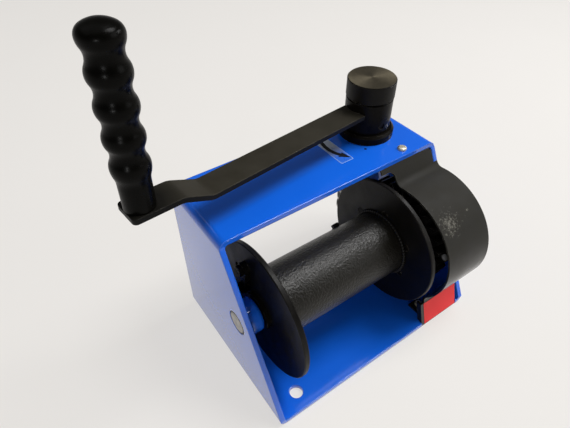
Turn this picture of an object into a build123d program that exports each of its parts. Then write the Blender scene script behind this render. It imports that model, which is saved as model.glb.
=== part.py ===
from build123d import *
import math
import os

# Worm-gear hand winch. Millimetres, +Z up, +X along the drum towards the gear side, +Y to the rear.
# The origin is the centre of the four base holes, on the underside of the base.

# Frame: one strip of plate bent into a closed loop, with its front edges cut on a slant
plate = 5.0
bend_outside = 8.0
base_depth = 174.5
top_depth = 89.4
rear_notch_width = 170.0
rear_notch_depth = 7.5
rear_notch_corner = 5.0
base_hole_radius = 6.5
base_hole_from_side = 30.0
base_hole_from_edge = 17.25

# Fits: radial play of shafts and pins, and the gap between faces that pass each other
running_fit = 0.05
face_gap = 0.3

# Drum on its fixed axle, placed from the base, the top and the rear edge
drum_height = 86.0
flange_top_gap = 11.0
drum_from_rear = 106.75
axle_radius = 12.0
axle_edge = 1.0
boss_radius = 17.0
boss_length = 15.0
boss_edge = 4.0
barrel_radius = 33.5
barrel_wall = 6.0
flange_radius = 69.0
flange_thickness = 5.0
flange_edge = 0.8
flange_side_gap = 19.4
rope_width = 143.4
gear_bay = 67.2
bush_wall = 4.0
bush_length = 30.0
bush_collar_radius = 18.5

# Rope fastening: a clamp on the outside of the left flange, and a set screw in the barrel
rope_hole_radius = 4.5
rope_hole_offset = 13.0
clamp_y = 22.0
clamp_z = 24.9
clamp_tilt = -9.4
clamp_bolt_spacing = 30.6
clamp_length = 43.0
clamp_width = 13.0
clamp_thickness = 5.0
clamp_groove_radius = 4.0
clamp_groove_depth = 2.5
clamp_bolt_radius = 3.0
clamp_head_flats = 10.0
clamp_head_height = 4.0
set_screw_from_flange = 106.8
set_screw_angle = 32.0
set_screw_radius = 3.0
set_screw_length = 14.0
set_screw_head_flats = 7.0
set_screw_head_height = 4.2

# Worm gear: single-start right-hand worm on a vertical shaft, helical wheel on the drum
gear_module = 4.0
wheel_teeth = 27
worm_pitch_radius = 18.0
pressure_angle = 20.0
backlash = 0.6
worm_length = 54.0
worm_from_flange = 26.9
wheel_face = 20.0
wheel_web = 10.0
wheel_rim_wall = 7.0
wheel_hub_radius = 24.0
wheel_plate_radius = 47.0
wheel_plate_thickness = 8.0
wheel_bolt_circle = 37.0
wheel_bolt_count = 6
wheel_bolt_radius = 4.0
wheel_bolt_head_flats = 13.0
wheel_bolt_head_height = 5.3

# Worm shaft and its bearings
shaft_radius = 10.0
shaft_collar_radius = 15.0
shaft_collar_length = 8.0
shaft_thread_radius = 8.0
worm_bush_wall = 4.0
housing_flange_radius = 28.0
housing_flange_height = 9.0
housing_edge = 2.2
housing_spigot_radius = 19.0
housing_spigot_depth = 16.0
foot_flange_radius = 27.0
foot_flange_height = 6.0
foot_body_radius = 19.0
foot_height = 22.0
foot_floor = 3.0
washer_radius = 18.0
washer_thickness = 3.0

# Guard over the worm wheel: one sheet with a round strap between two flat tabs
guard_sheet = 2.0
guard_clearance = 8.6
guard_forward = 8.3
guard_drop = 4.6
guard_from_flange = 14.5
guard_bend = 8.0
guard_tab_depth = 24.0
guard_ear_length = 16.0
guard_ear_height = 5.5
guard_ear_round = 9.0
guard_low_lean = 17.4
guard_low_lift = 1.0
guard_low_overhang = 5.0
guard_low_side_gap = 4.0
guard_lip_depth = 6.0
guard_lip_height = 24.0
guard_foot_length = 24.0
guard_foot_width = 16.0
guard_screw_radius = 2.5
guard_screw_head_radius = 4.6
guard_screw_head_height = 2.8
guard_screw_from_side = 37.9
guard_screw_from_front = 9.2
guard_foot_screw_from_lip = 9.7
guard_foot_screw_from_front = 20.0

# Crank: sleeve pinned to the shaft, flat arm with a joggle, and a cap that closes the shaft end
sleeve_radius = 23.3
sleeve_length = 31.7
sleeve_edge = 0.8
cap_radius = 23.75
cap_height = 18.8
cap_groove = 0.8
cap_groove_depth = 2.0
cap_edge = 0.8
cap_socket_depth = 10.0
pin_radius = 3.0
pin_height = 8.4
pin_heading = -95.0
pin_recess = 1.0
arm_heading = 186.2
arm_width = 26.8
arm_thickness = 5.0
arm_height = 17.5
arm_seat_depth = 3.0
arm_joggle_length = 25.0
arm_joggle_to_grip = 28.4
arm_joggle_rise = 12.9
arm_bend = 14.0
arm_end = 12.1
arm_corner = 4.0

# Grip: a moulded handle with five swellings, loose on a spindle that is riveted in the arm
# and leans a little towards the shaft
grip_distance = 249.4
grip_lean = 2.2
grip_neck_radius = 11.9
grip_neck_length = 22.0
grip_swell_radius = 14.1
grip_waist_radius = 11.5
grip_swell_count = 5
grip_swell_pitch = 21.8
grip_first_swell = 35.0
grip_crown = 9.0
grip_shoulder = 7.0
spindle_radius = 5.0
spindle_length = 104.0
spindle_head_radius = 8.0
spindle_head_height = 3.0
ring_width = 2.0
ring_thickness = 1.6
ring_from_end = 8.0

# Places that follow from the sizes above
frame_width = 2 * plate + flange_side_gap + 2 * flange_thickness + rope_width + gear_bay
frame_height = drum_height + flange_radius + flange_top_gap + plate
half_width = frame_width / 2
half_base = base_depth / 2
drum_y = half_base - drum_from_rear
drum_z = drum_height
top_underside = frame_height - plate
top_front_y = half_base - top_depth
front_slope = (top_front_y + half_base) / (top_underside - bend_outside)
side_inside = half_width - plate

left_flange_x = -side_inside + flange_side_gap
barrel_start_x = left_flange_x + flange_thickness
barrel_end_x = barrel_start_x + rope_width
right_flange_x = barrel_end_x + flange_thickness
bush_radius = axle_radius + running_fit + bush_wall
bush_collar = flange_side_gap - boss_length - face_gap
hub_end_x = side_inside - boss_length - face_gap - bush_collar

wheel_pitch_radius = gear_module * wheel_teeth / 2
wheel_tip_radius = wheel_pitch_radius + gear_module
wheel_root_radius = wheel_pitch_radius - 1.25 * gear_module
worm_tip_radius = worm_pitch_radius + gear_module
worm_root_radius = worm_pitch_radius - 1.25 * gear_module
worm_pitch = math.pi * gear_module
worm_x = right_flange_x + worm_from_flange
worm_y = drum_y + wheel_pitch_radius + worm_pitch_radius

worm_bush_radius = shaft_radius + running_fit + worm_bush_wall
housing_bottom = frame_height - housing_spigot_depth
housing_top = frame_height + housing_flange_height
foot_top = plate + foot_height
sleeve_bottom = housing_top + face_gap
sleeve_top = sleeve_bottom + sleeve_length
arm_bottom = sleeve_bottom + arm_height
arm_end_top = arm_bottom + arm_joggle_rise + arm_thickness
arm_joggle_start = grip_distance - arm_joggle_to_grip - arm_joggle_length
grip_bottom = arm_end_top + face_gap

guard_radius = wheel_tip_radius + guard_clearance
guard_left = right_flange_x + guard_from_flange
guard_low_left = guard_left - guard_low_overhang
guard_low_right = side_inside - guard_low_side_gap
guard_low_up = Vector(math.sin(math.radians(guard_low_lean)), math.cos(math.radians(guard_low_lean)))
guard_screw_x = half_width - guard_screw_from_side
guard_screw_y = top_front_y + guard_screw_from_front
guard_foot_screw_x = guard_left + guard_foot_screw_from_lip
guard_foot_screw_y = -half_base + guard_foot_screw_from_front

drum_place = Pos(0, drum_y, drum_z)
worm_place = Pos(worm_x, worm_y, 0)
crank_place = worm_place * Rot(0, 0, arm_heading)
grip_tilt = Pos(grip_distance, 0, arm_end_top) * Rot(0, -grip_lean, 0) * Pos(0, 0, -arm_end_top)
grip_place = crank_place * grip_tilt


def upright(radius, bottom, top):
    """Cylinder about the Z axis between two heights."""
    return Pos(0, 0, (bottom + top) / 2) * Cylinder(radius, top - bottom)


def upright_ring(outer, inner, bottom, top):
    return upright(outer, bottom, top) - upright(inner, bottom, top)


def across(radius, start, end):
    """Cylinder about the X axis between two places along it."""
    return Pos((start + end) / 2, 0, 0) * Rot(0, 90, 0) * Cylinder(radius, end - start)


def across_ring(outer, inner, start, end):
    return across(outer, start, end) - across(inner, start, end)


def hex_screw(shank_radius, shank_length, flats, head_height):
    """Hexagon-head screw: head above Z = 0, shank below it."""
    head = extrude(RegularPolygon(flats / 2, 6, major_radius=False), head_height)
    return head + upright(shank_radius, -shank_length, 0)


def round_screw(shank_radius, shank_length, head_radius, head_height):
    """Pan-head screw: domed head above Z = 0, shank below it."""
    head = upright(head_radius, 0, head_height)
    head = fillet(head.edges().sort_by(Axis.Z)[-1], head_height * 0.6)
    return head + upright(shank_radius, -shank_length, 0)


def front_y(z):
    """Y of the slanted front edges at a height."""
    return -half_base + (z - bend_outside) * front_slope


def slanted_front(start, end):
    """Everything in front of the slanted edges, between two places along X."""
    reach = 4 * plate
    outline = Polyline(
        (-half_base - frame_height, -reach),
        (-half_base, -reach),
        (-half_base, bend_outside),
        (top_front_y, top_underside),
        (top_front_y, frame_height + reach),
        (-half_base - frame_height, frame_height + reach),
        close=True,
    )
    return Pos(start, 0, 0) * extrude(Plane.YZ * make_face(outline), end - start)


def frame():
    loop = RectangleRounded(frame_width, frame_height, bend_outside)
    loop -= RectangleRounded(frame_width - 2 * plate, frame_height - 2 * plate, bend_outside - plate)
    body = Pos(0, 0, frame_height / 2) * extrude(Plane.XZ * loop, half_base, both=True)
    body -= slanted_front(-frame_width, frame_width)
    rear_notch = extrude(RectangleRounded(rear_notch_width, 2 * rear_notch_depth, rear_notch_corner), plate)
    body -= Pos(0, half_base, 0) * rear_notch
    body -= guard_notch()
    body -= drum_place * across(axle_radius + running_fit, -frame_width, frame_width)
    body -= worm_place * upright(housing_spigot_radius + running_fit, plate, 2 * frame_height)
    spacing_x = frame_width - 2 * base_hole_from_side
    spacing_y = base_depth - 2 * base_hole_from_edge
    for hole in GridLocations(spacing_x, spacing_y, 2, 2):
        body -= hole * upright(base_hole_radius, -plate, 2 * plate)
    screw_hole = guard_screw_radius + running_fit
    body -= Pos(guard_screw_x, guard_screw_y, 0) * upright(screw_hole, plate, 2 * frame_height)
    body -= Pos(guard_foot_screw_x, guard_foot_screw_y, 0) * upright(screw_hole, -plate, 2 * plate)
    return body


def axle_boss(side):
    """Boss on the inside of a side plate, rounded at its free end."""
    boss = upright(boss_radius, 0, boss_length)
    boss = fillet(boss.edges().sort_by(Axis.Z)[-1], boss_edge)
    boss -= upright(axle_radius + running_fit, 0, boss_length)
    return drum_place * Pos(side * side_inside, 0, 0) * Rot(0, -90 * side, 0) * boss


def drum_axle():
    axle = across(axle_radius, -half_width, half_width)
    return drum_place * chamfer(axle.edges().filter_by(GeomType.CIRCLE), axle_edge)


def drum_barrel():
    tube = across_ring(barrel_radius, barrel_radius - barrel_wall, barrel_start_x, barrel_end_x)
    tube -= set_screw_place() * upright(set_screw_radius + running_fit, -set_screw_length, barrel_wall)
    return drum_place * tube


def set_screw_place():
    """On the barrel, with Z pointing straight out of it."""
    return Pos(barrel_start_x + set_screw_from_flange, 0, 0) * Rot(set_screw_angle - 90, 0, 0) * Pos(0, 0, barrel_radius)


def drum_flange(start):
    disc = across(flange_radius, start, start + flange_thickness)
    disc = chamfer(disc.edges().filter_by(GeomType.CIRCLE), flange_edge)
    return disc - across(bush_radius + running_fit, start, start + flange_thickness)


def drum_flange_left():
    disc = drum_flange(left_flange_x)
    disc -= clamp_place() * Pos(0, rope_hole_offset, 0) * upright(rope_hole_radius, -flange_thickness, 0)
    for bolt in clamp_bolt_places():
        disc -= bolt * upright(clamp_bolt_radius + running_fit, -2 * flange_thickness, flange_thickness)
    return drum_place * disc


def drum_flange_right():
    disc = drum_flange(barrel_end_x)
    for bolt in wheel_bolt_places():
        disc -= bolt * upright(wheel_bolt_radius + running_fit, -4 * wheel_plate_thickness, 0)
    return drum_place * disc


def drum_bush(seat, outward):
    """Flanged bush: its collar outside the seat face, its barrel inside it."""
    bush = upright(bush_radius, -bush_length, 0) + upright(bush_collar_radius, 0, bush_collar)
    bush -= upright(axle_radius + running_fit, -bush_length, bush_collar)
    return drum_place * Pos(seat, 0, 0) * Rot(0, 90 * outward, 0) * bush


def clamp_place():
    """On the outer face of the left flange, Z out of the face, X along the clamp."""
    face = Plane(origin=(left_flange_x, clamp_y, clamp_z), x_dir=(0, 0, 1), z_dir=(-1, 0, 0))
    return Location(face) * Rot(0, 0, clamp_tilt)


def clamp_bolt_places():
    return [clamp_place() * spot for spot in GridLocations(clamp_bolt_spacing, 0, 2, 1)]


def rope_clamp():
    block = extrude(SlotOverall(clamp_length, clamp_width), clamp_thickness)
    groove_axis = clamp_groove_depth - clamp_groove_radius
    block -= Pos(0, 0, groove_axis) * Rot(90, 0, 0) * Cylinder(clamp_groove_radius, 2 * clamp_width)
    for spot in GridLocations(clamp_bolt_spacing, 0, 2, 1):
        block -= spot * upright(clamp_bolt_radius + running_fit, 0, clamp_thickness)
    return drum_place * clamp_place() * block


def rope_clamp_bolts():
    shank = clamp_thickness + flange_thickness
    bolt = hex_screw(clamp_bolt_radius, shank, clamp_head_flats, clamp_head_height)
    return [drum_place * place * Pos(0, 0, clamp_thickness) * bolt for place in clamp_bolt_places()]


def rope_set_screw():
    screw = hex_screw(set_screw_radius, set_screw_length, set_screw_head_flats, set_screw_head_height)
    return drum_place * set_screw_place() * screw


def wheel_bolt_places():
    """On the wheel's bolting plate, with Z pointing away from the drum flange."""
    seat = Pos(right_flange_x + wheel_plate_thickness, 0, 0) * Rot(0, 90, 0)
    return [seat * spot for spot in PolarLocations(wheel_bolt_circle, wheel_bolt_count)]


def wheel_bolts():
    shank = wheel_plate_thickness + flange_thickness
    bolt = hex_screw(wheel_bolt_radius, shank, wheel_bolt_head_flats, wheel_bolt_head_height)
    return [drum_place * place * bolt for place in wheel_bolt_places()]


def involute(angle):
    return math.tan(angle) - angle


def wheel_outline():
    """Points of the toothed outline, with a gap centred on the first axis."""
    slant = math.radians(pressure_angle)
    base_radius = wheel_pitch_radius * math.cos(slant)
    radii = [wheel_root_radius, base_radius + 0.1 * gear_module, wheel_pitch_radius, wheel_tip_radius]
    points = []
    for tooth in range(wheel_teeth):
        middle = (tooth + 0.5) * 2 * math.pi / wheel_teeth
        flank = []
        for radius in radii:
            rolled = involute(math.acos(base_radius / max(radius, base_radius)))
            half = math.pi / (2 * wheel_teeth) + involute(slant) - rolled
            flank.append((radius, half))
        for radius, half in flank:
            points.append((radius * math.cos(middle - half), radius * math.sin(middle - half)))
        for radius, half in reversed(flank):
            points.append((radius * math.cos(middle + half), radius * math.sin(middle + half)))
    return points


def worm_wheel():
    outline = make_face(Polyline(*wheel_outline(), close=True))
    lead = gear_module / (2 * worm_pitch_radius)
    twist = math.degrees(wheel_face * lead / wheel_pitch_radius)
    flat = Plane.YZ * outline
    sides = [
        Pos(worm_x + side * wheel_face / 2, 0, 0) * Rot(side * twist / 2, 0, 0) * flat
        for side in (-1, 1)
    ]
    wheel = loft(sides, ruled=True)
    recess = wheel_root_radius - wheel_rim_wall
    for side in (-1, 1):
        wheel -= across(
            recess,
            worm_x + min(side * wheel_web, side * wheel_face) / 2,
            worm_x + max(side * wheel_web, side * wheel_face) / 2,
        )
    wheel += across(wheel_hub_radius, right_flange_x, hub_end_x)
    wheel += across(wheel_plate_radius, right_flange_x, right_flange_x + wheel_plate_thickness)
    wheel -= across(bush_radius + running_fit, right_flange_x, hub_end_x)
    for bolt in wheel_bolt_places():
        wheel -= bolt * upright(wheel_bolt_radius + running_fit, -2 * wheel_plate_thickness, 0)
    return drum_place * wheel


def worm_section():
    """Cross-section of the thread: root circle, two spiral flanks and a short tip arc."""
    slope = math.tan(math.radians(pressure_angle))
    half_pitch_land = (worm_pitch / 2 - backlash) / 2
    steps = 4
    flank = []
    for step in range(steps + 1):
        radius = worm_root_radius + (worm_tip_radius - worm_root_radius) * step / steps
        land = half_pitch_land + (worm_pitch_radius - radius) * slope
        turn = 2 * math.pi * land / worm_pitch
        flank.append(Vector(radius * math.cos(turn), radius * math.sin(turn)))
    mirrored = [Vector(point.X, -point.Y) for point in reversed(flank)]
    edges = [
        Spline(flank),
        ThreePointArc(flank[-1], (worm_tip_radius, 0), mirrored[0]),
        Spline(mirrored),
        ThreePointArc(mirrored[-1], (-worm_root_radius, 0), flank[0]),
    ]
    return Face(Wire(edges))


def worm_shaft():
    turns = worm_length / worm_pitch
    thread = Solid.extrude_linear_with_rotation(worm_section(), (0, 0, 0), (0, 0, worm_length), 360 * turns)
    worm = Pos(0, 0, drum_z - worm_length / 2) * Rot(0, 0, -90 - 180 * turns) * thread
    neck = 0.9 * worm_root_radius
    foot_end = plate + foot_floor + face_gap
    low_collar = foot_top + washer_thickness + face_gap
    high_collar = housing_bottom - washer_thickness - face_gap
    outline = Polyline(
        (0, foot_end),
        (shaft_radius, foot_end),
        (shaft_radius, low_collar),
        (shaft_collar_radius, low_collar),
        (shaft_collar_radius, low_collar + shaft_collar_length),
        (neck, low_collar + shaft_collar_length),
        (neck, high_collar - shaft_collar_length),
        (shaft_collar_radius, high_collar - shaft_collar_length),
        (shaft_collar_radius, high_collar),
        (shaft_radius, high_collar),
        (shaft_radius, sleeve_top),
        (shaft_thread_radius, sleeve_top),
        (shaft_thread_radius, sleeve_top + cap_socket_depth),
        (0, sleeve_top + cap_socket_depth),
        close=True,
    )
    shaft = revolve(Plane.XZ * make_face(outline), Axis.Z) - pin_hole()
    return worm_place * (shaft + worm)


def bearing_housing():
    flange = upright(housing_flange_radius, frame_height, housing_top)
    flange = chamfer(flange.edges().sort_by(Axis.Z)[-1], housing_edge)
    housing = flange + upright(housing_spigot_radius, housing_bottom, frame_height)
    return worm_place * (housing - upright(worm_bush_radius + running_fit, housing_bottom, housing_top))


def worm_bush(bottom, top):
    return worm_place * upright_ring(worm_bush_radius, shaft_radius + running_fit, bottom, top)


def foot_bearing():
    cup = upright(foot_flange_radius, plate, plate + foot_flange_height)
    cup += upright(foot_body_radius, plate, foot_top)
    return worm_place * (cup - upright(worm_bush_radius + running_fit, plate + foot_floor, foot_top))


def thrust_washer(bottom):
    washer = upright_ring(washer_radius, shaft_radius + running_fit, bottom, bottom + washer_thickness)
    return worm_place * washer


def at_height(start, along, height):
    """Point at a height on a line through a start."""
    return start + along * ((height - start.Y) / along.Y)


def first_meeting(start, along, centre, radius):
    """First point of a circle on a line that runs from a start."""
    to_centre = centre - start
    middle = to_centre.dot(along)
    aside = to_centre - along * middle
    return start + along * (middle - math.sqrt(radius**2 - aside.length**2))


def guard_line(shift):
    """The guard's line in Y and Z from its top tab to its lower end, moved inwards by a shift."""
    slant = math.hypot(1, front_slope)
    centre = Vector(drum_y - guard_forward, drum_z - guard_drop)
    radius = guard_radius - shift
    down = Vector(-front_slope, -1) / slant
    inward = Vector(1, -front_slope) / slant
    top = Vector(top_front_y, top_underside) + inward * shift
    low_inward = Vector(guard_low_up.Y, -guard_low_up.X)
    low = Vector(-half_base, guard_low_lift) + low_inward * shift
    return (
        at_height(top, down, top_underside - shift),
        first_meeting(top, down, centre, radius),
        centre - inward * radius,
        first_meeting(low, guard_low_up, centre, radius),
        at_height(low, guard_low_up, guard_low_lift),
    )


def guard_notch():
    """Room for the guard's lower tab in the front edge of the base."""
    rear = at_height(guard_line(guard_sheet)[4], guard_low_up, plate).X + face_gap
    width = guard_low_right - guard_low_left + 2 * face_gap
    room = Box(width, base_depth, 4 * plate, align=(Align.MIN, Align.MAX, Align.CENTER))
    return Pos(guard_low_left - face_gap, rear, 0) * room


def guard_face():
    outer = guard_line(0)
    inner = guard_line(guard_sheet)
    rear = top_front_y + guard_tab_depth
    edges = [
        Polyline((rear, top_underside), outer[0], outer[1]),
        ThreePointArc(outer[1], outer[2], outer[3]),
        Polyline(outer[3], outer[4], inner[4], inner[3]),
        ThreePointArc(inner[3], inner[2], inner[1]),
        Polyline(inner[1], inner[0], (rear, top_underside - guard_sheet), (rear, top_underside)),
    ]
    sheet = make_face(edges)
    bends = [(outer[1], 0), (outer[3], 0), (inner[1], 1), (inner[3], 1)]
    for corner, side in bends:
        vertex = sheet.vertices().sort_by_distance(corner)[0]
        sheet = fillet(vertex, guard_bend + side * guard_sheet)
    return sheet


def gear_guard():
    strap = Pos(guard_left, 0, 0) * extrude(Plane.YZ * guard_face(), half_width - guard_left)
    right = side_inside - face_gap
    in_front = slanted_front(right, 2 * half_width)
    beyond = Pos(right + half_width, 0, drum_z) * Box(frame_width, 4 * base_depth, 2 * frame_height)
    strap -= beyond - in_front
    inner_bend = bend_outside - plate
    for height in (plate, top_underside):
        strap -= Pos(side_inside, 0, height) * Box(2 * inner_bend, 2 * base_depth, 2 * inner_bend)
    disc = across(guard_radius, half_width - guard_sheet, half_width)
    strap += (Pos(0, drum_y - guard_forward, drum_z - guard_drop) * disc) & in_front
    low_bend = guard_line(0)[3].Y
    strap -= Pos(guard_low_right, 0, 0) * Box(
        frame_width, 2 * base_depth, 2 * low_bend, align=(Align.MIN, Align.CENTER, Align.CENTER)
    )
    strap += guard_ear() + guard_lip() + guard_foot()
    strap -= drum_place * across(axle_radius + face_gap, side_inside, frame_width)
    screw_hole = guard_screw_radius + running_fit
    strap -= Pos(guard_screw_x, guard_screw_y, 0) * upright(screw_hole, drum_z, frame_height)
    strap -= Pos(guard_foot_screw_x, guard_foot_screw_y, 0) * upright(screw_hole, 0, drum_z)
    return strap


def slope_plane():
    """On the slanted front, X along the drum, Y up the slope, Z out of the front."""
    origin = (0, front_y(plate), plate)
    return Plane(origin=origin, x_dir=(1, 0, 0), z_dir=(0, -1, front_slope))


def guard_ear():
    """Narrow strip beside the upper tab, rounded into the strap's left edge."""
    rise = (top_underside - plate) * math.hypot(1, front_slope)
    bottom = rise - guard_ear_height
    outline = Polyline(
        (guard_left - guard_ear_length, rise),
        (guard_left - guard_ear_length, bottom),
        (guard_left - guard_ear_round, bottom),
    )
    sweep_in = JernArc(outline @ 1, (1, 0), guard_ear_round, -90)
    closing = Polyline(sweep_in @ 1, (guard_left, rise), (guard_left - guard_ear_length, rise))
    face = make_face([outline, sweep_in, closing])
    return extrude(slope_plane() * face, -guard_sheet)


def low_tab_band(depth, bottom, length):
    """Solid along the lower tab's left end: from the tab's face inwards, and along X."""
    outer = guard_line(0)[4]
    inner = guard_line(depth)[4]
    top = plate + guard_lip_height
    outline = Polyline(
        at_height(outer, guard_low_up, bottom),
        at_height(outer, guard_low_up, top),
        at_height(inner, guard_low_up, top),
        at_height(inner, guard_low_up, bottom),
        close=True,
    )
    return Pos(guard_low_left, 0, 0) * extrude(Plane.YZ * make_face(outline), length)


def guard_lip():
    """The lower tab runs on past the strap's left edge and turns inwards there."""
    overhang = low_tab_band(guard_sheet, guard_low_lift, guard_low_overhang)
    return overhang + low_tab_band(guard_lip_depth, plate, guard_sheet)


def guard_foot():
    """Small foot that turns in from the lower tab and lies on the base."""
    front = at_height(guard_line(guard_sheet / 2)[4], guard_low_up, plate + guard_sheet / 2).X
    foot = Box(guard_foot_width, guard_foot_length, guard_sheet, align=(Align.MIN, Align.MIN, Align.MIN))
    return Pos(guard_left, front, plate) * foot


def guard_screws():
    upper = round_screw(
        guard_screw_radius, plate + guard_sheet, guard_screw_head_radius, guard_screw_head_height
    )
    lower = round_screw(
        guard_screw_radius, guard_sheet + plate, guard_screw_head_radius, guard_screw_head_height
    )
    return [
        Pos(guard_screw_x, guard_screw_y, frame_height) * upper,
        Pos(guard_foot_screw_x, guard_foot_screw_y, plate + guard_sheet) * lower,
    ]


def pin_hole():
    height = sleeve_bottom + pin_height
    drill = Cylinder(pin_radius + running_fit, 2 * cap_radius)
    return Pos(0, 0, height) * Rot(0, 0, pin_heading) * Rot(0, 90, 0) * drill


def hub_pin():
    height = sleeve_bottom + pin_height
    pin = Cylinder(pin_radius, 2 * (sleeve_radius - pin_recess))
    return worm_place * Pos(0, 0, height) * Rot(0, 0, pin_heading) * Rot(0, 90, 0) * pin


def crank_sleeve():
    sleeve = upright(sleeve_radius, sleeve_bottom, sleeve_top)
    sleeve = chamfer(sleeve.edges().filter_by(GeomType.CIRCLE), sleeve_edge)
    sleeve -= upright(shaft_radius + running_fit, sleeve_bottom, sleeve_top)
    seat = Box(sleeve_radius, arm_width, arm_thickness, align=(Align.MIN, Align.CENTER, Align.MIN))
    seat = Rot(0, 0, arm_heading) * Pos(sleeve_radius - arm_seat_depth, 0, arm_bottom) * seat
    return worm_place * (sleeve - seat - pin_hole())


def hub_cap():
    cap = upright(cap_radius, sleeve_top + cap_groove, sleeve_top + cap_height)
    cap = chamfer(cap.edges().filter_by(GeomType.CIRCLE), cap_edge)
    cap += upright(cap_radius - cap_groove_depth, sleeve_top, sleeve_top + cap_groove)
    socket = upright(shaft_thread_radius + running_fit, sleeve_top, sleeve_top + cap_socket_depth)
    return worm_place * (cap - socket)


def crank_arm():
    start = sleeve_radius - arm_seat_depth
    lean = math.radians(grip_lean)
    flat = Vector(math.cos(lean), math.sin(lean))
    through = Vector(-flat.Y, flat.X) * arm_thickness
    seat = Vector(grip_distance, arm_end_top) - through
    ramp_end = seat - flat * ((seat.X - arm_joggle_start - arm_joggle_length) / flat.X)
    ramp = math.atan2(ramp_end.Y - arm_bottom, arm_joggle_length)
    under = [
        Vector(start, arm_bottom),
        Vector(arm_joggle_start, arm_bottom),
        ramp_end,
        seat + flat * arm_end,
    ]
    over = [
        under[3] + through,
        ramp_end + through - flat * (arm_thickness * math.tan((ramp - lean) / 2)),
        Vector(arm_joggle_start - arm_thickness * math.tan(ramp / 2), arm_bottom + arm_thickness),
        Vector(start, arm_bottom + arm_thickness),
    ]
    side = make_face(Polyline(*under, *over, close=True))
    bends = [(under[1], arm_bend + arm_thickness), (under[2], arm_bend)]
    bends += [(over[1], arm_bend + arm_thickness), (over[2], arm_bend)]
    for corner, radius in bends:
        vertex = side.vertices().sort_by_distance(corner)[0]
        side = fillet(vertex, radius)
    arm = extrude(Plane.XZ * side, arm_width / 2, both=True)
    end_edges = arm.faces().sort_by(Axis.X)[-1].edges().sort_by(SortBy.LENGTH)
    arm = fillet(end_edges[:2], arm_corner)
    arm -= grip_tilt * upright(spindle_radius + running_fit, arm_bottom, arm_end_top + arm_thickness)
    return crank_place * arm


def grip_spindle():
    top = arm_end_top + spindle_length
    under = arm_end_top - arm_thickness
    spindle = upright(spindle_radius, under, top)
    head = upright(spindle_head_radius, under - spindle_head_height, under)
    spindle += fillet(head.edges().sort_by(Axis.Z)[0], spindle_head_height * 0.6)
    groove_bottom = top - ring_from_end
    groove = upright_ring(spindle_radius + ring_width, spindle_radius - ring_width / 2,
                          groove_bottom, groove_bottom + ring_thickness)
    return grip_place * (spindle - groove)


def grip_ring():
    bottom = arm_end_top + spindle_length - ring_from_end
    ring = upright_ring(spindle_radius + ring_width / 2, spindle_radius - ring_width / 2,
                        bottom, bottom + ring_thickness)
    gap = Pos(spindle_radius, 0, bottom + ring_thickness / 2) * Box(
        2 * spindle_radius, spindle_radius, ring_thickness
    )
    return grip_place * (ring - gap)


def grip_waves():
    """Outline of the swellings: pairs of equal arcs that meet upright at each swelling and waist."""
    heights = [grip_bottom + grip_first_swell + swell * grip_swell_pitch for swell in range(grip_swell_count)]
    turns = [(grip_neck_radius, grip_bottom + grip_neck_length), (grip_swell_radius, heights[0])]
    for low, high in zip(heights, heights[1:]):
        turns += [(grip_waist_radius, (low + high) / 2), (grip_swell_radius, high)]
    arcs = []
    for start, end in zip(turns, turns[1:]):
        middle = ((start[0] + end[0]) / 2, (start[1] + end[1]) / 2)
        leaving = TangentArc(start, middle, tangent=(0, 1))
        arcs += [leaving, TangentArc(middle, end, tangent=leaving % 1)]
    return arcs, turns[0], turns[-1]


def grip():
    waves, neck, crest = grip_waves()
    top = crest[1] + grip_crown
    shoulder = grip_shoulder
    dome = (grip_swell_radius**2 + grip_crown**2 - 2 * grip_swell_radius * shoulder) / (
        2 * (grip_crown - shoulder)
    )
    lean = math.atan2(dome - grip_crown, grip_swell_radius - shoulder)
    meet = (
        grip_swell_radius - shoulder + shoulder * math.cos(lean),
        crest[1] + shoulder * math.sin(lean),
    )
    corner = TangentArc(crest, meet, tangent=(0, 1))
    crown = TangentArc(meet, (0, top), tangent=corner % 1)
    bore = spindle_radius + running_fit
    bore_top = arm_end_top + spindle_length + face_gap
    room = spindle_radius + ring_width / 2 + face_gap
    room_bottom = arm_end_top + spindle_length - ring_from_end - face_gap
    room_top = room_bottom + ring_thickness + 2 * face_gap
    inside = Polyline(
        (0, top),
        (0, bore_top),
        (bore, bore_top),
        (bore, room_top),
        (room, room_top),
        (room, room_bottom),
        (bore, room_bottom),
        (bore, grip_bottom),
        (grip_neck_radius, grip_bottom),
        neck,
    )
    return grip_place * revolve(Plane.XZ * make_face([inside, *waves, corner, crown]), Axis.Z)


nodes = {
    "frame": frame(),
    "axle_boss_left": axle_boss(-1),
    "axle_boss_right": axle_boss(1),
    "drum_axle": drum_axle(),
    "drum_barrel": drum_barrel(),
    "drum_flange_left": drum_flange_left(),
    "drum_flange_right": drum_flange_right(),
    "drum_bush_left": drum_bush(left_flange_x, -1),
    "drum_bush_right": drum_bush(hub_end_x, 1),
    "rope_clamp": rope_clamp(),
    "rope_clamp_bolts": rope_clamp_bolts(),
    "rope_set_screw": rope_set_screw(),
    "worm_wheel": worm_wheel(),
    "wheel_bolts": wheel_bolts(),
    "worm_shaft": worm_shaft(),
    "bearing_housing": bearing_housing(),
    "worm_top_bush": worm_bush(housing_bottom, housing_top),
    "foot_bearing": foot_bearing(),
    "worm_foot_bush": worm_bush(plate + foot_floor, foot_top),
    "thrust_washer_top": thrust_washer(housing_bottom - washer_thickness),
    "thrust_washer_foot": thrust_washer(foot_top),
    "gear_guard": gear_guard(),
    "guard_screws": guard_screws(),
    "crank_sleeve": crank_sleeve(),
    "hub_pin": hub_pin(),
    "hub_cap": hub_cap(),
    "crank_arm": crank_arm(),
    "grip_spindle": grip_spindle(),
    "grip_ring": grip_ring(),
    "grip": grip(),
}

os.makedirs("parts", exist_ok=True)
for name, shape in nodes.items():
    if isinstance(shape, list):
        shape = Compound(children=[solid for piece in shape for solid in piece.solids()])
    export_step(shape, f"parts/{name}.step")
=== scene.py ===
import math

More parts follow.
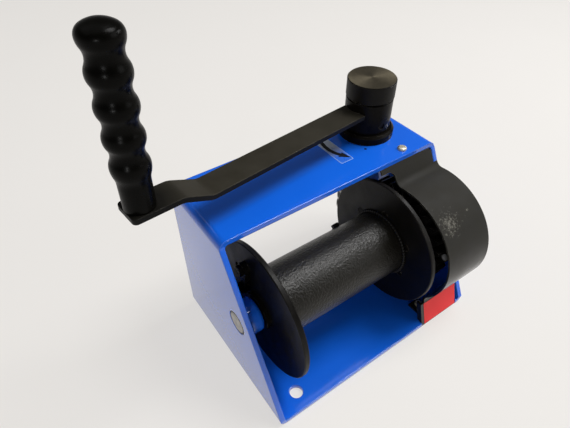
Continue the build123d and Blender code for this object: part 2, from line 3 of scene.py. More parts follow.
import bmesh
import bpy
from mathutils import Matrix, Vector


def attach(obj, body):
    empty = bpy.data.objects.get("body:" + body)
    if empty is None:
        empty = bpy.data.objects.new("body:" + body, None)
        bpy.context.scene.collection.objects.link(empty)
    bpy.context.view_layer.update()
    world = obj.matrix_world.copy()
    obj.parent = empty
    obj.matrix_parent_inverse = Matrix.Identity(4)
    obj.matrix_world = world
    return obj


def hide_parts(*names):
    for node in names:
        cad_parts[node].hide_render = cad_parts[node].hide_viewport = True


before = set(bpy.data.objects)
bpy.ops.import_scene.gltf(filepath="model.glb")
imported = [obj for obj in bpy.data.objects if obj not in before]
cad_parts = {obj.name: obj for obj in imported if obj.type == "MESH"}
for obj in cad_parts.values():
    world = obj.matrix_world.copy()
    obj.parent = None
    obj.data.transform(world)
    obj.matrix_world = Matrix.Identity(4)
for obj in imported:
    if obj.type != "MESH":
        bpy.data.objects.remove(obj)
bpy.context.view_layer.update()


# Frame: one strip of 5 mm mild steel, bent into a closed loop whose side plates slant at the front.
# It is drilled and deburred, then sprayed with gloss blue enamel that rounds every cut edge.
mm = 0.001
frame_top = 171 * mm
frame_edge = 1.3 * mm
paint_rim = 1.5 * mm
# A small spot on the top plate that the enamel paints near-black.
dark_spot_place = (57.6 * mm, 27.8 * mm, frame_top)
dark_spot_radius = 1.0 * mm
dark_spot_halo = 1.7 * mm


def linear(code):
    """An sRGB hex colour as linear RGBA."""
    channels = [int(code[i:i + 2], 16) / 255 for i in (1, 3, 5)]
    return [c / 12.92 if c <= 0.04045 else ((c + 0.055) / 1.055) ** 2.4 for c in channels] + [1.0]


def plug(tree, node, inputs):
    """Sets a node's sockets, each to a value or to another node's output."""
    for socket, value in inputs.items():
        if isinstance(value, bpy.types.NodeSocket):
            tree.links.new(value, node.inputs[socket])
        else:
            node.inputs[socket].default_value = value
    return node


def add(tree, kind, inputs, **settings):
    """Adds one node with its settings and links.

    A Map Range goes from inputs 1 and 2 to inputs 3 and 4, and a colour Mix from 6 to 7 by input 0.
    """
    node = tree.nodes.new(kind)
    for name, value in settings.items():
        setattr(node, name, value)
    return plug(tree, node, inputs)


def new_finish(name):
    """A new material: itself, its node tree, its shader, and the place on the piece in metres."""
    finish = bpy.data.materials.new(name)
    finish.use_nodes = True
    tree = finish.node_tree
    place = add(tree, "ShaderNodeTexCoord", {}).outputs["Object"]
    return finish, tree, tree.nodes["Principled BSDF"], place


def rubbed_and_highlit_edges(tree, place, reach, grain):
    """How light the edges are made, from 0 to 1: along edges, in patches. Sizes in mm.
    The lighter edges are partly wear and partly a painted edge highlight.
    """
    rounded = add(tree, "ShaderNodeBevel", {"Radius": reach * mm}, samples=6)
    face = add(tree, "ShaderNodeNewGeometry", {})
    turn = add(
        tree, "ShaderNodeVectorMath",
        {0: rounded.outputs[0], 1: face.outputs["Normal"]}, operation="DOT_PRODUCT",
    )
    edge = add(tree, "ShaderNodeMapRange", {0: turn.outputs["Value"], 1: 0.95, 2: 0.8, 3: 0.0, 4: 1.0})
    patch = add(tree, "ShaderNodeTexNoise", {"Vector": place, "Scale": 1 / (grain * mm), "Detail": 4.0})
    bare = add(tree, "ShaderNodeMapRange", {0: patch.outputs[0], 1: 0.5, 2: 0.66, 3: 0.0, 4: 1.0})
    rubbed_and_highlit = add(
        tree, "ShaderNodeMath",
        {0: edge.outputs[0], 1: bare.outputs[0]}, operation="MULTIPLY",
    )
    return rubbed_and_highlit.outputs[0]


def dress(finish, *nodes):
    """Gives CAD nodes a finish."""
    for node in nodes:
        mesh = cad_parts[node].data
        mesh.materials.clear()
        mesh.materials.append(finish)


def ease_edges(node, width):
    """Rounds the sharp edges of a CAD node, as deburring and paint do."""
    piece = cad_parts[node]
    piece.data.polygons.foreach_set("use_smooth", [True] * len(piece.data.polygons))
    if piece.data.has_custom_normals:
        piece.data.attributes.remove(piece.data.attributes["custom_normal"])
    seams = piece.modifiers.new("joined_seams", "WELD")
    seams.merge_threshold = 0.002 * mm
    flats = piece.modifiers.new("whole_faces", "DECIMATE")
    flats.decimate_type = "DISSOLVE"
    flats.angle_limit = math.radians(0.2)
    edges = piece.modifiers.new("eased_edges", "BEVEL")
    edges.width = width
    edges.segments = 3
    edges.limit_method = "ANGLE"
    edges.angle_limit = math.radians(35)
    edges.use_clamp_overlap = True
    faces = piece.modifiers.new("flat_faces", "WEIGHTED_NORMAL")
    faces.weight = 100
    faces.keep_sharp = False


# Gloss enamel, sprayed: a deep even blue under a clear hard coat that mirrors pale things at a slant.
# Its tone drifts slowly, the coat has a faint orange peel and pulls round over the rims, and edges
# are a lighter blue in patches, partly rubbed and partly a painted edge highlight. A small spot on the
# top plate is painted near-black.
enamel, tree, skin, place = new_finish("gloss_enamel_sprayed")
drift = add(tree, "ShaderNodeTexNoise", {"Vector": place, "Scale": 1 / (60 * mm), "Detail": 2.0})
blue = add(
    tree, "ShaderNodeMix",
    {0: drift.outputs[0], 6: linear("#1261DC"), 7: linear("#1A6CEA")}, data_type="RGBA",
)
rubbed_and_highlit = rubbed_and_highlit_edges(tree, place, 1.2, 9)
# Lighter blue along the edges: partly rubbed paint, partly a painted edge highlight.
worn_and_highlit_blue = add(
    tree, "ShaderNodeMix",
    {0: rubbed_and_highlit, 6: blue.outputs[2], 7: linear("#3A7BE8")}, data_type="RGBA",
)
# A small spot on the top plate, painted near-black.
from_dark_spot = add(tree, "ShaderNodeVectorMath", {0: place, 1: dark_spot_place}, operation="DISTANCE")
dark_spot = add(
    tree, "ShaderNodeMapRange",
    {0: from_dark_spot.outputs["Value"], 1: dark_spot_radius, 2: dark_spot_halo, 3: 1.0, 4: 0.0},
)
spotted_blue = add(
    tree, "ShaderNodeMix",
    {0: dark_spot.outputs[0], 6: worn_and_highlit_blue.outputs[2], 7: linear("#14172A")}, data_type="RGBA",
)
peel = add(tree, "ShaderNodeTexNoise", {"Vector": place, "Scale": 1 / (2.5 * mm), "Detail": 1.0})
dust = add(tree, "ShaderNodeTexNoise", {"Vector": place, "Scale": 1 / (30 * mm), "Detail": 1.0})
gloss = add(tree, "ShaderNodeMapRange", {0: dust.outputs[0], 1: 0.3, 2: 0.7, 3: 0.13, 4: 0.18})
thick_rim = add(tree, "ShaderNodeBevel", {"Radius": paint_rim}, samples=8)
waves = add(
    tree, "ShaderNodeBump",
    {"Height": peel.outputs[0], "Strength": 0.03, "Distance": 0.15 * mm, "Normal": thick_rim.outputs[0]},
)
plug(tree, skin, {
    "Base Color": spotted_blue.outputs[2],
    "Roughness": gloss.outputs[0],
    "Normal": waves.outputs[0],
    "Coat Normal": waves.outputs[0],
    "Specular IOR Level": 0.15,
    "Coat Weight": 1.0,
    "Coat IOR": 1.5,
    "Coat Roughness": 0.08,
})
dress(enamel, "frame")
ease_edges("frame", frame_edge)


# Axle bosses: turned steel rings with a rounded end, welded inside the side plates around the axle.
# They are painted with the frame, and the bead of the weld shows as a rippled ring at their foot.
boss_radius = 17 * mm
boss_foot = 120 * mm
axle_y = -19.5 * mm
axle_z = 86 * mm
frame_bead = 2.4 * mm
frame_ripples = 44


def new_piece(name, shape, finish, body):
    """Turns a bmesh into a piece that rides on a CAD body."""
    mesh = bpy.data.meshes.new(name)
    bmesh.ops.recalc_face_normals(shape, faces=shape.faces)
    shape.to_mesh(mesh)
    shape.free()
    mesh.materials.append(finish)
    piece = bpy.data.objects.new(name, mesh)
    bpy.context.scene.collection.objects.link(piece)
    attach(piece, body)
    return piece


def lofted(rings, closed=False):
    """A bmesh skinned over rings of points.

    Closed joins the last ring to the first, otherwise the ends are capped.
    """
    shape = bmesh.new()
    rows = [[shape.verts.new(point) for point in ring] for ring in rings]
    count = len(rows[0])
    pairs = list(zip(rows, rows[1:])) + ([(rows[-1], rows[0])] if closed else [])
    for low, high in pairs:
        for i in range(count):
            shape.faces.new((low[i], low[(i + 1) % count], high[(i + 1) % count], high[i])).smooth = True
    if not closed:
        shape.faces.new(rows[0])
        shape.faces.new(rows[-1])
    return shape


def about_axle(x, out, turn):
    """A point at a distance from the drum axis, in a direction about it."""
    return (x, axle_y + out * math.cos(turn), axle_z + out * math.sin(turn))


def rippled_ring(x, radius, size, side, ripples):
    """A ring about the drum axis at the foot of a round piece, heaped in ripples as a weld is."""
    steps = ripples * 6
    around = 8
    rings = []
    for step in range(steps):
        turn = 2 * math.pi * step / steps
        heap = size * (0.86 + 0.14 * math.cos(turn * ripples))
        ring = []
        for k in range(around):
            lean = 2 * math.pi * k / around
            out = radius + 0.25 * size + 0.75 * heap * math.cos(lean)
            ring.append(about_axle(x + side * (0.25 * size + 0.75 * heap * math.sin(lean)), out, turn))
        rings.append(ring)
    return lofted(rings, closed=True)


dress(enamel, "axle_boss_left", "axle_boss_right")
for name, side in (("boss_weld_left", 1), ("boss_weld_right", -1)):
    bead = rippled_ring(-side * boss_foot, boss_radius, frame_bead, side, frame_ripples)
    new_piece(name, bead, enamel, "frame")


# Drum axle: a fixed round bar of cold-drawn steel, cut to the frame's width and chamfered at its ends.
# It sits flush in the side plates, its bare ends show as discs, and their rims are painted dark as painted
# shade in the groove round them.
# Painted shade in the groove round the axle ends, from these radii outwards.
axle_unshaded_radius = 9.6 * mm
axle_shaded_radius = 10.8 * mm

# Mild steel, turned: a pale grey metal with a fine grain from the tool and a few brown stains.
# The real tool marks are about 0.2 mm apart and are drawn at 0.8 mm so that they show.
turned_steel, tree, skin, place = new_finish("mild_steel_turned")
stain = add(tree, "ShaderNodeTexNoise", {"Vector": place, "Scale": 1 / (5 * mm), "Detail": 5.0})
steel_tone = add(
    tree, "ShaderNodeMix",
    {0: stain.outputs[0], 6: linear("#85827B"), 7: linear("#B9B8B5")}, data_type="RGBA",
)
steel_gloss = add(tree, "ShaderNodeMapRange", {0: stain.outputs[0], 1: 0.3, 2: 0.7, 3: 0.5, 4: 0.3})
tool = add(tree, "ShaderNodeTexNoise", {"Vector": place, "Scale": 1 / (0.8 * mm), "Detail": 2.0})
cuts = add(tree, "ShaderNodeBump", {"Height": tool.outputs[0], "Strength": 0.2, "Distance": 0.1 * mm})
plug(tree, skin, {
    "Base Color": steel_tone.outputs[2],
    "Metallic": 1.0,
    "Roughness": steel_gloss.outputs[0],
    "Normal": cuts.outputs[0],
})

# The same steel painted brown-black at its rim as painted shade in the groove round the disc, which
# draws a dark line round it.
rim_shaded_steel = turned_steel.copy()
rim_shaded_steel.name = "mild_steel_turned_shaded_rim"
tree = rim_shaded_steel.node_tree
skin = tree.nodes["Principled BSDF"]
unshaded_steel = skin.inputs["Base Color"].links[0].from_socket
place = add(tree, "ShaderNodeTexCoord", {}).outputs["Object"]
on_disc = add(tree, "ShaderNodeVectorMath", {0: place, 1: (0.0, 1.0, 1.0)}, operation="MULTIPLY")
from_axis = add(
    tree, "ShaderNodeVectorMath",
    {0: on_disc.outputs[0], 1: (0.0, axle_y, axle_z)}, operation="DISTANCE",
)
# Painted shade at the disc's rim.
rim_shade = add(
    tree, "ShaderNodeMapRange",
    {0: from_axis.outputs["Value"], 1: axle_unshaded_radius, 2: axle_shaded_radius, 3: 0.0, 4: 1.0},
)
shaded_rim_tone = add(
    tree, "ShaderNodeMix",
    {0: rim_shade.outputs[0], 6: unshaded_steel, 7: linear("#1C1916")}, data_type="RGBA",
)
plug(tree, skin, {"Base Color": shaded_rim_tone.outputs[2]})
dress(rim_shaded_steel, "drum_axle")


# Drum: a steel tube with a round plate welded to each end, all sprayed with a thick black paint.
# The paint dried with a sandy grain on the tube, and the flange rims are lighter, partly rubbed through and
# partly a painted highlight.
barrel_radius = 33.5 * mm
flange_inner_faces = (-95.6 * mm, 47.8 * mm)
drum_bead = 3.2 * mm
drum_ripples = 70

# Thick black paint, sprayed dry: a warm near-black with sandy grains that break the highlight along
# the barrel into specks. The real grains are about 1 mm across and are drawn at 2 mm so that they show.
sandy_black, tree, skin, place = new_finish("black_paint_sprayed_dry")
grain = add(
    tree, "ShaderNodeTexNoise",
    {"Vector": place, "Scale": 1 / (1.9 * mm), "Detail": 2.0, "Roughness": 0.5},
)
lumps = add(tree, "ShaderNodeTexNoise", {"Vector": place, "Scale": 1 / (9 * mm), "Detail": 2.0})
sand_height = add(
    tree, "ShaderNodeMath",
    {0: lumps.outputs[0], 1: 0.3, 2: grain.outputs[0]}, operation="MULTIPLY_ADD",
)
sand = add(tree, "ShaderNodeBump", {"Height": sand_height.outputs[0], "Strength": 1.0, "Distance": 0.68 * mm})
black = add(
    tree, "ShaderNodeMix",
    {0: grain.outputs[0], 6: linear("#080704"), 7: linear("#1E1B14")}, data_type="RGBA",
)
dull = add(tree, "ShaderNodeMapRange", {0: grain.outputs[0], 1: 0.3, 2: 0.7, 3: 0.42, 4: 0.3})
plug(tree, skin, {
    "Base Color": black.outputs[2],
    "Roughness": dull.outputs[0],
    "Normal": sand.outputs[0],
    "Specular IOR Level": 0.36,
})

# Thick black paint, sprayed wet: a deep brown-black with a low shine at a slant and soft runs.
# The flange rims are grey in patches, partly rubbed through and partly a painted highlight. Its pores are
# finer than 1 mm and are drawn at 2.2 mm so that they show.
wet_black, tree, skin, place = new_finish("black_paint_sprayed_wet")
runs = add(tree, "ShaderNodeTexNoise", {"Vector": place, "Scale": 1 / (16 * mm), "Detail": 4.0})
rubbed_and_highlit = rubbed_and_highlit_edges(tree, place, 1.0, 12)
deep = add(
    tree, "ShaderNodeMix",
    {0: runs.outputs[0], 6: linear("#050504"), 7: linear("#14110E")}, data_type="RGBA",
)
# Grey rims: partly rubbed paint, partly a painted highlight.
worn_and_highlit_black = add(
    tree, "ShaderNodeMix",
    {0: rubbed_and_highlit, 6: deep.outputs[2], 7: linear("#6E675C")}, data_type="RGBA",
)
wet_gloss = add(tree, "ShaderNodeMapRange", {0: runs.outputs[0], 1: 0.3, 2: 0.7, 3: 0.34, 4: 0.5})
pores = add(tree, "ShaderNodeTexNoise", {"Vector": place, "Scale": 1 / (2.2 * mm), "Detail": 2.0})
wet_bump = add(tree, "ShaderNodeBump", {"Height": pores.outputs[0], "Strength": 0.3, "Distance": 0.3 * mm})
plug(tree, skin, {
    "Base Color": worn_and_highlit_black.outputs[2],
    "Roughness": wet_gloss.outputs[0],
    "Normal": wet_bump.outputs[0],
    "Specular IOR Level": 0.16,
})
dress(wet_black, "drum_flange_left", "drum_flange_right")
dress(sandy_black, "drum_barrel")
for name, x, side in (
    ("barrel_weld_left", flange_inner_faces[0], 1),
    ("barrel_weld_right", flange_inner_faces[1], -1),
):
    bead = rippled_ring(x, barrel_radius, drum_bead, side, drum_ripples)
    new_piece(name, bead, wet_black, "drum")


# Drum bushes: flanged sleeves pressed into the drum's ends, which turn on the fixed axle.
# They are turned from steel, hardened and blackened, and oil has darkened them further.

# Black-oxided steel, turned: a brown-black skin with a low oily sheen and a fine grain from the tool.
# The real tool marks are about 0.2 mm apart and are drawn at 1 mm so that they show.
oxide, tree, skin, place = new_finish("black_oxide_on_turned_steel")
oil = add(tree, "ShaderNodeTexNoise", {"Vector": place, "Scale": 1 / (8 * mm), "Detail": 4.0})
oxide_tone = add(
    tree, "ShaderNodeMix",
    {0: oil.outputs[0], 6: linear("#070605"), 7: linear("#15120E")}, data_type="RGBA",
)
rubbed_and_highlit = rubbed_and_highlit_edges(tree, place, 0.8, 7)
rubbed_oxide = add(
    tree, "ShaderNodeMix",
    {0: rubbed_and_highlit, 6: oxide_tone.outputs[2], 7: linear("#7A756B")}, data_type="RGBA",
)
oxide_gloss = add(tree, "ShaderNodeMapRange", {0: oil.outputs[0], 1: 0.3, 2: 0.7, 3: 0.24, 4: 0.36})
oxide_tool = add(tree, "ShaderNodeTexNoise", {"Vector": place, "Scale": 1 / (1.0 * mm), "Detail": 2.0})
oxide_bump = add(
    tree, "ShaderNodeBump",
    {"Height": oxide_tool.outputs[0], "Strength": 0.08, "Distance": 0.1 * mm},
)
plug(tree, skin, {
    "Base Color": rubbed_oxide.outputs[2],
    "Roughness": oxide_gloss.outputs[0],
    "Normal": oxide_bump.outputs[0],
    "Specular IOR Level": 0.06,
})
dress(oxide, "drum_bush_left", "drum_bush_right")


# Rope clamp and its bolts: a small steel block with a groove for the rope, held on the left flange
# by two hexagon bolts. Block and bolts are black oxided.
clamp_bolt_places = (
    (-105.6 * mm, 5.0 * mm, 95.8 * mm),
    (-105.6 * mm, 0.0 * mm, 126.0 * mm),
)
clamp_bolt_radius = 3 * mm
clamp_bolt_flats = 10 * mm
clamp_bolt_head = 4 * mm
clamp_bolt_length = 10 * mm


def hex_bolt(flats, head, shank_radius, shank_length, lean):
    """A forged hexagon bolt: head above Z = 0 with a chamfered crown, threaded shank below."""
    count = 72
    centre = 0.02 * mm
    crown_radius = 0.94 * flats / 2
    foot_radius = 0.97 * flats / 2
    root_radius = 0.84 * shank_radius
    pitch = 0.32 * shank_radius
    turns = int(shank_length / pitch)
    chamfer = math.radians(30)

    def ring(radius_at, z_at):
        points = []
        for i in range(count):
            turn = 2 * math.pi * i / count
            flat = flats / 2 / math.cos((turn + math.pi / 6) % (math.pi / 3) - math.pi / 6)
            radius = radius_at(flat)
            points.append(lean @ Vector((radius * math.cos(turn), radius * math.sin(turn), z_at(radius))))
        return points

    def crown(radius):
        return head - max(0.0, radius - crown_radius) * math.tan(chamfer)

    rings = [ring(lambda flat: centre, lambda r: -shank_length)]
    rings.append(ring(lambda flat: root_radius, lambda r: -shank_length))
    for k in range(turns - 1, 0, -1):
        rings.append(ring(lambda flat: shank_radius, lambda r: -(k + 0.5) * pitch))
        rings.append(ring(lambda flat: root_radius, lambda r: -k * pitch))
    rings.append(ring(lambda flat: shank_radius, lambda r: 0.0))
    rings.append(ring(lambda flat: min(flat, foot_radius), lambda r: 0.0))
    rings.append(ring(lambda flat: flat, lambda r: 0.12 * head))
    rings.append(ring(lambda flat: flat, crown))
    rings.append(ring(lambda flat: crown_radius, lambda r: head))
    rings.append(ring(lambda flat: 0.6 * crown_radius, lambda r: head))
    rings.append(ring(lambda flat: 0.52 * crown_radius, lambda r: head - 0.04 * head))
    shape = lofted(rings)
    for face in shape.faces:
        face.smooth = False
    return shape


def merged(shapes):
    """Several bmeshes as one."""
    whole = bmesh.new()
    for shape in shapes:
        mesh = bpy.data.meshes.new("part")
        shape.to_mesh(mesh)
        shape.free()
        whole.from_mesh(mesh)
        bpy.data.meshes.remove(mesh)
    return whole


dress(oxide, "rope_clamp")
outward_left = Matrix.Rotation(math.radians(-90), 4, "Y")
bolts = merged([
    hex_bolt(
        clamp_bolt_flats, clamp_bolt_head, clamp_bolt_radius, clamp_bolt_length,
        Matrix.Translation(spot) @ outward_left,
    )
    for spot in clamp_bolt_places
])
clamp_bolts = new_piece("clamp_bolts", bolts, oxide, "drum")
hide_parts("rope_clamp_bolts")


# Rope set screw: a black hexagon screw through the barrel's rear wall.
# It is painted with the drum, so only its shape sets it apart.
set_screw_seat = (11.2 * mm, 8.91 * mm, 103.75 * mm)
set_screw_lean = math.radians(-58)
set_screw_radius = 3 * mm
set_screw_flats = 7 * mm
set_screw_head = 4.2 * mm
set_screw_length = 14 * mm
screw = hex_bolt(
    set_screw_flats, set_screw_head, set_screw_radius, set_screw_length,
    Matrix.Translation(set_screw_seat) @ Matrix.Rotation(set_screw_lean, 4, "X"),
)
set_screw = new_piece("set_screw", screw, wet_black, "drum")
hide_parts("rope_set_screw")


# Worm wheel: a cast iron wheel with 27 hobbed teeth, bolted to the right flange by six hexagon bolts.
# The teeth are bare, thick with old grease and painted dark as painted shade, and one tooth tip has a painted
# glint.
# Where one tooth tip is painted pale as a painted glint.
painted_glint_place = (84.2 * mm, -74.8 * mm, 88.3 * mm)
painted_glint_radius = 3.0 * mm
painted_glint_halo = 5.0 * mm
wheel_bolt_turns = [math.radians(90 + 60 * k) for k in range(6)]
wheel_bolt_circle = 37 * mm
wheel_bolt_seat = 60.8 * mm
wheel_bolt_radius = 4 * mm
wheel_bolt_flats = 13 * mm
wheel_bolt_head = 5.3 * mm
wheel_bolt_length = 13 * mm

# Grey cast iron, hobbed: a dark grey metal, darkened as painted shade inside the guard and nearly black
# where grease has gathered, with a fine grain that is drawn at 0.9 mm so that it shows. One tooth tip is
# painted pale and frosty as a painted glint, to stand bright where little light falls inside the guard.
wheel_iron, tree, skin, place = new_finish("grey_cast_iron_hobbed")
grease_and_shade = add(tree, "ShaderNodeTexNoise", {"Vector": place, "Scale": 1 / (11 * mm), "Detail": 5.0})
iron_tone = add(
    tree, "ShaderNodeMix",
    {0: grease_and_shade.outputs[0], 6: linear("#171614"), 7: linear("#4C4A47")}, data_type="RGBA",
)
rubbed_and_highlit = rubbed_and_highlit_edges(tree, place, 0.8, 8)
bright_iron = add(
    tree, "ShaderNodeMix",
    {0: rubbed_and_highlit, 6: iron_tone.outputs[2], 7: linear("#CFCDC8")}, data_type="RGBA",
)
# The painted glint on one tooth tip.
from_painted_glint = add(tree, "ShaderNodeVectorMath", {0: place, 1: painted_glint_place}, operation="DISTANCE")
glint_share = add(
    tree, "ShaderNodeMapRange",
    {0: from_painted_glint.outputs["Value"], 1: painted_glint_radius, 2: painted_glint_halo, 3: 1.0, 4: 0.0},
)
glint_tone = add(
    tree, "ShaderNodeMix",
    {0: glint_share.outputs[0], 6: bright_iron.outputs[2], 7: linear("#EDEEF0")}, data_type="RGBA",
)
iron_metal = add(tree, "ShaderNodeMapRange", {0: glint_share.outputs[0], 1: 0.0, 2: 1.0, 3: 0.9, 4: 0.1})
iron_grain = add(tree, "ShaderNodeTexNoise", {"Vector": place, "Scale": 1 / (0.9 * mm), "Detail": 2.0})
iron_gloss = add(tree, "ShaderNodeMapRange", {0: grease_and_shade.outputs[0], 1: 0.3, 2: 0.7, 3: 0.3, 4: 0.5})
iron_bump = add(
    tree, "ShaderNodeBump",
    {"Height": iron_grain.outputs[0], "Strength": 0.2, "Distance": 0.15 * mm},
)
plug(tree, skin, {
    "Base Color": glint_tone.outputs[2],
    "Metallic": iron_metal.outputs[0],
    "Roughness": iron_gloss.outputs[0],
    "Normal": iron_bump.outputs[0],
})
dress(wheel_iron, "worm_wheel")
outward_right = Matrix.Rotation(math.radians(90), 4, "Y")
bolts = merged([
    hex_bolt(
        wheel_bolt_flats, wheel_bolt_head, wheel_bolt_radius, wheel_bolt_length,
        Matrix.Translation(about_axle(wheel_bolt_seat, wheel_bolt_circle, turn)) @ outward_right,
    )
    for turn in wheel_bolt_turns
])
wheel_bolts = new_piece("wheel_bolt_set", bolts, oxide, "drum")
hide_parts("wheel_bolts")


# Worm shaft: an upright bar of steel with the worm's thread cut in it, carried by bronze bushes
# between two thrust washers. The foot bearing and the housing on top are turned, blackened steel.

# Bearing bronze, turned: a warm brown-gold metal, dulled by a film of grease.
bronze, tree, skin, place = new_finish("bearing_bronze_turned")
grease_film = add(tree, "ShaderNodeTexNoise", {"Vector": place, "Scale": 1 / (6 * mm), "Detail": 4.0})
gold = add(
    tree, "ShaderNodeMix",
    {0: grease_film.outputs[0], 6: linear("#8A6534"), 7: linear("#C49A5C")}, data_type="RGBA",
)
greasy = add(tree, "ShaderNodeMapRange", {0: grease_film.outputs[0], 1: 0.3, 2: 0.7, 3: 0.25, 4: 0.45})
ripple = add(
    tree, "ShaderNodeBump",
    {"Height": grease_film.outputs[0], "Strength": 0.1, "Distance": 0.2 * mm},
)
plug(tree, skin, {
    "Base Color": gold.outputs[2],
    "Metallic": 1.0,
    "Roughness": greasy.outputs[0],
    "Normal": ripple.outputs[0],
})
dress(turned_steel, "worm_shaft")
dress(bronze, "worm_top_bush", "worm_foot_bush", "thrust_washer_top", "thrust_washer_foot")
dress(oxide, "bearing_housing", "foot_bearing")


# Gear guard: one strip of 2 mm sheet bent over the wheel, with flat tabs, an ear and a lip.
# It is sprayed satin black, scuffed on its shoulder, and held by two slotted pan-head screws.
guard_screw_places = ((87.1 * mm, 7.05 * mm, frame_top), (77.0 * mm, -67.25 * mm, 7 * mm))
guard_scuffs = (
    ((81.0 * mm, -70.2 * mm, 132.8 * mm), 26 * mm),
    ((107.6 * mm, -67.8 * mm, 134.7 * mm), 4 * mm),
)
guard_edge = 0.35 * mm
glossy_below = 70 * mm
dull_above = 125 * mm
screw_head_radius = 4.6 * mm
screw_head_height = 2.8 * mm
screw_radius = 2.5 * mm
screw_length = 7 * mm
screw_slot_width = 1.2 * mm
screw_slot_turn = math.radians(35)

# Satin black paint, sprayed on smooth sheet: a soft olive black that drifts in faint clouds.
# Weather has dulled it from above, and its underside keeps a gloss that mirrors the ground.
satin_black, tree, skin, place = new_finish("satin_black_paint_sprayed")
haze = add(tree, "ShaderNodeTexNoise", {"Vector": place, "Scale": 1 / (18 * mm), "Detail": 5.0})
satin_tone = add(
    tree, "ShaderNodeMix",
    {0: haze.outputs[0], 6: linear("#0B0904"), 7: linear("#1F1C11")}, data_type="RGBA",
)
rubbed_and_highlit = rubbed_and_highlit_edges(tree, place, 0.9, 10)
worn_satin = add(
    tree, "ShaderNodeMix",
    {0: rubbed_and_highlit, 6: satin_tone.outputs[2], 7: linear("#77746C")}, data_type="RGBA",
)
parts = add(tree, "ShaderNodeSeparateXYZ", {0: place})
weathered = add(
    tree, "ShaderNodeMapRange",
    {0: parts.outputs[2], 1: glossy_below, 2: dull_above, 3: 0.22, 4: 0.8},
)
clouds = add(tree, "ShaderNodeMapRange", {0: haze.outputs[0], 1: 0.3, 2: 0.7, 3: -0.05, 4: 0.05})
satin_gloss = add(tree, "ShaderNodeMath", {0: weathered.outputs[0], 1: clouds.outputs[0]}, operation="ADD")
orange_peel = add(tree, "ShaderNodeTexNoise", {"Vector": place, "Scale": 1 / (2 * mm), "Detail": 2.0})
satin_bump = add(
    tree, "ShaderNodeBump",
    {"Height": orange_peel.outputs[0], "Strength": 0.1, "Distance": 0.15 * mm},
)
plug(tree, skin, {
    "Base Color": worn_satin.outputs[2],
    "Roughness": satin_gloss.outputs[0],
    "Normal": satin_bump.outputs[0],
    "Specular IOR Level": 0.5,
})

# The same satin black, scuffed by gravel: specks of pale grey where the paint is knocked dull.
scuffed_black = satin_black.copy()
scuffed_black.name = "satin_black_paint_scuffed"
tree = scuffed_black.node_tree
skin = tree.nodes["Principled BSDF"]
sound_black = skin.inputs["Base Color"].links[0].from_socket
place = add(tree, "ShaderNodeTexCoord", {}).outputs["Object"]
specks = add(
    tree, "ShaderNodeTexNoise",
    {"Vector": place, "Scale": 1 / (2.4 * mm), "Detail": 4.0, "Roughness": 0.7},
)
knocked = sound_black
for centre, reach in guard_scuffs:
    away = add(tree, "ShaderNodeVectorMath", {0: place, 1: centre}, operation="DISTANCE")
    near = add(tree, "ShaderNodeMapRange", {0: away.outputs["Value"], 1: 0.0, 2: reach, 3: 0.24, 4: -0.12})
    thick = add(tree, "ShaderNodeMath", {0: specks.outputs[0], 1: near.outputs[0]}, operation="ADD")
    share = add(tree, "ShaderNodeMapRange", {0: thick.outputs[0], 1: 0.62, 2: 0.8, 3: 0.0, 4: 0.7})
    knocked = add(
        tree, "ShaderNodeMix",
        {0: share.outputs[0], 6: knocked, 7: linear("#7C7970")}, data_type="RGBA",
    ).outputs[2]
plug(tree, skin, {"Base Color": knocked})
dress(scuffed_black, "gear_guard")
ease_edges("gear_guard", guard_edge)


def slotted_screw(seat):
    """A slotted pan-head screw: shank and the head's foot in one, and two half domes beside the slot."""
    centre = 0.02 * mm
    slot_floor = 0.55 * screw_head_height
    dome = ((0.97, 0.54), (0.9, 0.74), (0.76, 0.9), (0.5, 0.98))

    def full_ring(radius, z):
        turns = [math.radians(7.5 * i) for i in range(48)]
        return [seat @ Vector((radius * math.cos(t), radius * math.sin(t), z)) for t in turns]

    def half_ring(radius, z, side):
        reach = math.acos(screw_slot_width / 2 / radius)
        turns = [reach * (k / 12 - 1) for k in range(25)]
        return [seat @ Vector((side * radius * math.cos(t), side * radius * math.sin(t), z)) for t in turns]

    foot = [(centre, -screw_length), (screw_radius, -screw_length), (screw_radius, 0.0)]
    foot += [(screw_head_radius, 0.0), (screw_head_radius, 0.35 * screw_head_height)]
    foot += [(0.97 * screw_head_radius, slot_floor), (centre, slot_floor)]
    halves = [
        lofted([half_ring(r * screw_head_radius, z * screw_head_height, side) for r, z in dome])
        for side in (1, -1)
    ]
    return merged([lofted([full_ring(r, z) for r, z in foot])] + halves)


# Zinc plate on steel: a bright creamy grey with a slightly cloudy, yellowed film.
zinc, tree, skin, place = new_finish("zinc_plate_on_steel")
cloud = add(tree, "ShaderNodeTexNoise", {"Vector": place, "Scale": 1 / (3 * mm), "Detail": 4.0})
zinc_tone = add(
    tree, "ShaderNodeMix",
    {0: cloud.outputs[0], 6: linear("#B5AE9A"), 7: linear("#ECE7D6")}, data_type="RGBA",
)
zinc_gloss = add(tree, "ShaderNodeMapRange", {0: cloud.outputs[0], 1: 0.3, 2: 0.7, 3: 0.5, 4: 0.35})
pits = add(tree, "ShaderNodeBump", {"Height": cloud.outputs[0], "Strength": 0.12, "Distance": 0.15 * mm})
plug(tree, skin, {
    "Base Color": zinc_tone.outputs[2],
    "Metallic": 0.7,
    "Roughness": zinc_gloss.outputs[0],
    "Normal": pits.outputs[0],
})
screws = merged([
    slotted_screw(Matrix.Translation(spot) @ Matrix.Rotation(screw_slot_turn, 4, "Z"))
    for spot in guard_screw_places
])
guard_screw_set = new_piece("guard_screw_set", screws, zinc, "frame")
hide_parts("guard_screws")


# Crank hub: a black-oxided sleeve on the shaft, locked by a blackened cross pin, under a turned cap.
# The cap screws the crank arm down, and its top was faced bright after blackening.
hub_axis = (79.7 * mm, 52.5 * mm)
turning_pitch = 1.3 * mm
wave_length = 0.31416

